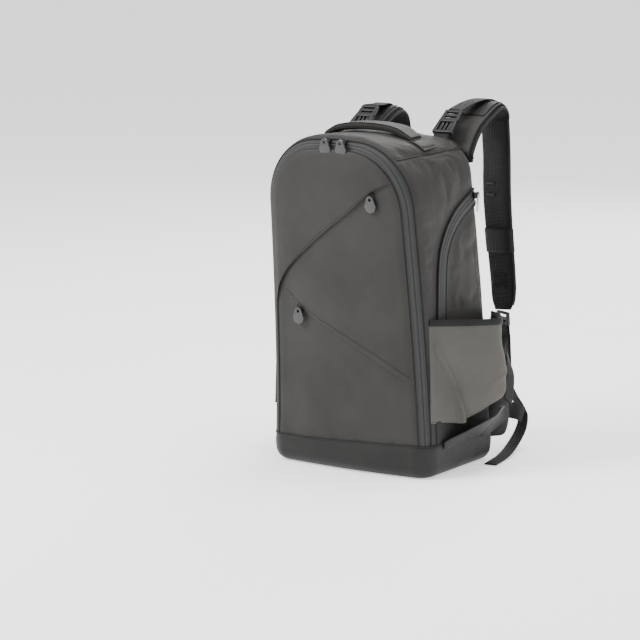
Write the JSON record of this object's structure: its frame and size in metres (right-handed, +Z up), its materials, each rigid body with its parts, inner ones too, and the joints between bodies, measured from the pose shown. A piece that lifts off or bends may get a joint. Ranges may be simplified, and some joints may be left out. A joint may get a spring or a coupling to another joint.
{
  "type": "camera backpack",
  "caption": "Camera backpack zipped shut: padded sack with a flap front in crossing panels, base boot, stretch side pockets, top handle and shoulder harness",
  "frame": {"origin": "middle of the flat underside of the base, on the floor", "axes": "+Z up, the bag's front faces -Y, the wearer's back is at +Y and +X is the bag's right as seen from the front"},
  "size_m": [0.3816, 0.3439, 0.5337],
  "materials": {
    "main_fabric": "dark warm grey woven polyester, fine plain weave, soft sheen",
    "boot_fabric": "darker coated fabric with a satin surface",
    "stretch_fabric": "light warm grey stretch knit, matt",
    "zip_tape": "grey zip tape with black piping along both edges",
    "black_webbing": "ribbed black polyester webbing",
    "air_mesh": "black spacer mesh over foam, bound in black tape",
    "black_plastic": "black moulded acetal, fine satin",
    "zip_metal": "black painted zip slider",
    "pull_rubber": "grey moulded rubber",
    "pale_metal": "bright metal pull"
  },
  "bodies": {
    "root": {"base_boot": "boot_fabric", "body_shell": "main_fabric", "main_zip": "zip_tape", "front_flap": "main_fabric", "front_upper_panel": "main_fabric", "front_middle_panel": "main_fabric", "front_lower_panel": "main_fabric", "main_zip_slider_left": "zip_metal", "main_zip_slider_right": "zip_metal", "main_zip_pull_left": "pull_rubber", "main_zip_pull_right": "pull_rubber", "upper_pocket_slider": "zip_metal", "upper_pocket_pull": "pull_rubber", "lower_pocket_slider": "zip_metal", "lower_pocket_pull": "pull_rubber", "side_zip": "zip_tape", "side_zip_slider": "zip_metal", "side_zip_pull": "pale_metal", "top_handle": "main_fabric", "back_pad": "air_mesh", "left_side_strap": "black_webbing", "left_side_buckle": "black_plastic", "side_pocket_right": "stretch_fabric", "pocket_binding_right": "black_webbing", "side_fin_right": "boot_fabric", "shoulder_strap_right": "air_mesh", "strap_keeper_right": "black_webbing", "shoulder_patch_right": "boot_fabric", "lifter_anchor_right": "black_webbing", "lifter_buckle_right": "black_plastic", "lifter_ladder_right": "black_plastic", "lifter_webbing_right": "black_webbing", "strap_ladder_lock_right": "black_plastic", "lower_webbing_right": "black_webbing", "webbing_tail_right": "black_webbing", "hip_wing_right": "boot_fabric", "hip_webbing_right": "black_webbing", "handle_patch_right": "main_fabric", "side_pocket_left": "stretch_fabric", "pocket_binding_left": "black_webbing", "side_fin_left": "boot_fabric", "shoulder_strap_left": "air_mesh", "strap_keeper_left": "black_webbing", "shoulder_patch_left": "boot_fabric", "lifter_anchor_left": "black_webbing", "lifter_buckle_left": "black_plastic", "lifter_ladder_left": "black_plastic", "lifter_webbing_left": "black_webbing", "strap_ladder_lock_left": "black_plastic", "lower_webbing_left": "black_webbing", "webbing_tail_left": "black_webbing", "hip_wing_left": "boot_fabric", "hip_webbing_left": "black_webbing", "handle_patch_left": "main_fabric"}
  },
  "joints": []
}
